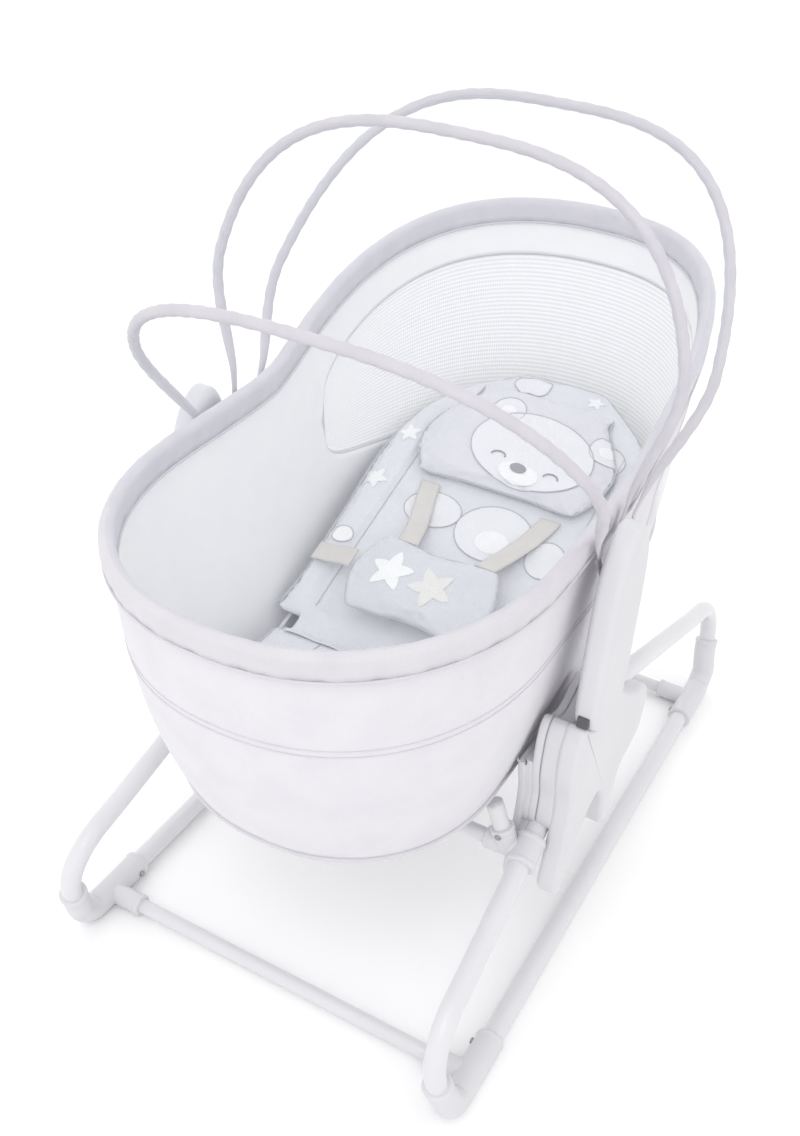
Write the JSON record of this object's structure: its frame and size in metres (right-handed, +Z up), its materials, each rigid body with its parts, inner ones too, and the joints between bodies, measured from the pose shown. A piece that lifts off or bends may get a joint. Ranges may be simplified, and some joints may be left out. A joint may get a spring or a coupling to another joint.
{
  "type": "baby cradle",
  "caption": "Baby cradle: oval fabric basket with a padded reclining seat and folding net canopy, clipped on side pods to a bent-tube stand with leaning side loops.",
  "frame": {"origin": "on the floor under the middle of the whole cradle", "axes": "+Z up, +Y towards the head end, +X towards the baby's left side"},
  "size_m": [0.5, 0.8762, 0.8466],
  "materials": {
    "powder_coat": "white powder coat on steel tube",
    "white_plastic": "moulded white plastic, fine satin",
    "grey_plastic": "moulded grey plastic",
    "steel": "zinc-plated steel",
    "basket_fabric": "pale grey woven polyester over thin foam",
    "binding_fabric": "pale grey polyester binding",
    "mesh_fabric": "white knitted net",
    "seat_fabric": "pale grey printed polyester over soft padding",
    "webbing": "beige polyester webbing"
  },
  "bodies": {
    "stand": {"front_arch_tube_left": "powder_coat", "front_arch_tube_right": "powder_coat", "rear_arch_tube_left": "powder_coat", "rear_arch_tube_right": "powder_coat", "floor_tube_left": "powder_coat", "floor_tube_right": "powder_coat", "front_connector_left": "white_plastic", "front_connector_right": "white_plastic", "rear_connector_left": "white_plastic", "rear_connector_right": "white_plastic", "front_cross_tube": "powder_coat", "rear_cross_tube": "powder_coat", "middle_cross_tube": "powder_coat", "tee_connector_left": "white_plastic", "tee_connector_right": "white_plastic", "floor_strut_left": "powder_coat", "floor_strut_right": "powder_coat", "leg_cover_outer_left": "white_plastic", "leg_cover_outer_right": "white_plastic", "leg_cover_inner_left": "white_plastic", "leg_cover_inner_right": "white_plastic", "basket_post_left": "grey_plastic", "basket_post_right": "grey_plastic"},
    "basket": {"side_pod_left": "white_plastic", "side_pod_right": "white_plastic", "bow_pivot_pin_left": "steel", "bow_pivot_pin_right": "steel", "basket_wall": "basket_fabric", "mesh_window": "mesh_fabric", "basket_floor_board": "basket_fabric", "rim_frame": "steel", "rim_binding": "binding_fabric", "seat_pad": "seat_fabric", "seat_frame": "powder_coat", "net_rear": "mesh_fabric"},
    "bow_rear": {"bow_rear": "binding_fabric", "net_middle": "mesh_fabric"},
    "bow_middle": {"bow_middle": "binding_fabric", "net_front": "mesh_fabric"},
    "bow_front": {"bow_front": "binding_fabric", "net_foot": "mesh_fabric"},
    "seat_back": {"back_pad": "seat_fabric", "back_frame": "powder_coat", "head_pillow": "seat_fabric", "crotch_pad": "seat_fabric", "shoulder_strap_left": "webbing", "shoulder_strap_right": "webbing", "waist_strap_left": "seat_fabric", "waist_strap_right": "seat_fabric"},
    "latch_button_left": {"latch_button_left": "grey_plastic"},
    "latch_button_right": {"latch_button_right": "grey_plastic"},
    "front_snap_button_left": {"front_snap_button_left": "steel"},
    "front_snap_button_right": {"front_snap_button_right": "steel"},
    "rear_snap_button_left": {"rear_snap_button_left": "steel"},
    "rear_snap_button_right": {"rear_snap_button_right": "steel"},
    "strut_snap_button_left": {"strut_snap_button_left": "steel"},
    "strut_snap_button_right": {"strut_snap_button_right": "steel"}
  },
  "joints": [
    {"name": "basket_lift", "type": "slide", "parent": "stand", "child": "basket", "axis": [0, 0, 1], "range_m": [0, 0.08]},
    {"name": "bow_rear_fold", "type": "hinge", "parent": "basket", "child": "bow_rear", "pos_m": [0, -0.0896, 0.47], "axis": [1, 0, 0], "range_deg": [-10, 0], "deforming": ["net_rear", "net_middle"]},
    {"name": "bow_middle_fold", "type": "hinge", "parent": "bow_rear", "child": "bow_middle", "pos_m": [0, -0.0896, 0.47], "axis": [1, 0, 0], "range_deg": [-23, 0], "deforming": ["net_middle", "net_front"]},
    {"name": "bow_front_fold", "type": "hinge", "parent": "bow_middle", "child": "bow_front", "pos_m": [0, -0.0896, 0.47], "axis": [1, 0, 0], "range_deg": [-36, 0], "deforming": ["net_front", "net_foot"]},
    {"name": "seat_recline", "type": "hinge", "parent": "basket", "child": "seat_back", "pos_m": [0, -0.1016, 0.271], "axis": [1, 0, 0], "range_deg": [0, 25]},
    {"name": "latch_button_left_press", "type": "slide", "parent": "basket", "child": "latch_button_left", "axis": [0, 1, 0], "range_m": [0, 0.004], "stiffness_N_per_m": 400, "springref_m": -0.002},
    {"name": "latch_button_right_press", "type": "slide", "parent": "basket", "child": "latch_button_right", "axis": [0, 1, 0], "range_m": [0, 0.004], "stiffness_N_per_m": 400, "springref_m": -0.002},
    {"name": "front_snap_button_left_press", "type": "slide", "parent": "stand", "child": "front_snap_button_left", "axis": [1, 0, 0], "range_m": [0, 0.002], "stiffness_N_per_m": 400, "springref_m": -0.002},
    {"name": "front_snap_button_right_press", "type": "slide", "parent": "stand", "child": "front_snap_button_right", "axis": [-1, 0, 0], "range_m": [0, 0.002], "stiffness_N_per_m": 400, "springref_m": -0.002},
    {"name": "rear_snap_button_left_press", "type": "slide", "parent": "stand", "child": "rear_snap_button_left", "axis": [1, 0, 0], "range_m": [0, 0.002], "stiffness_N_per_m": 400, "springref_m": -0.002},
    {"name": "rear_snap_button_right_press", "type": "slide", "parent": "stand", "child": "rear_snap_button_right", "axis": [-1, 0, 0], "range_m": [0, 0.002], "stiffness_N_per_m": 400, "springref_m": -0.002},
    {"name": "strut_snap_button_left_press", "type": "slide", "parent": "stand", "child": "strut_snap_button_left", "axis": [0, 1, 0], "range_m": [0, 0.002], "stiffness_N_per_m": 400, "springref_m": -0.002},
    {"name": "strut_snap_button_right_press", "type": "slide", "parent": "stand", "child": "strut_snap_button_right", "axis": [0, 1, 0], "range_m": [0, 0.002], "stiffness_N_per_m": 400, "springref_m": -0.002}
  ]
}
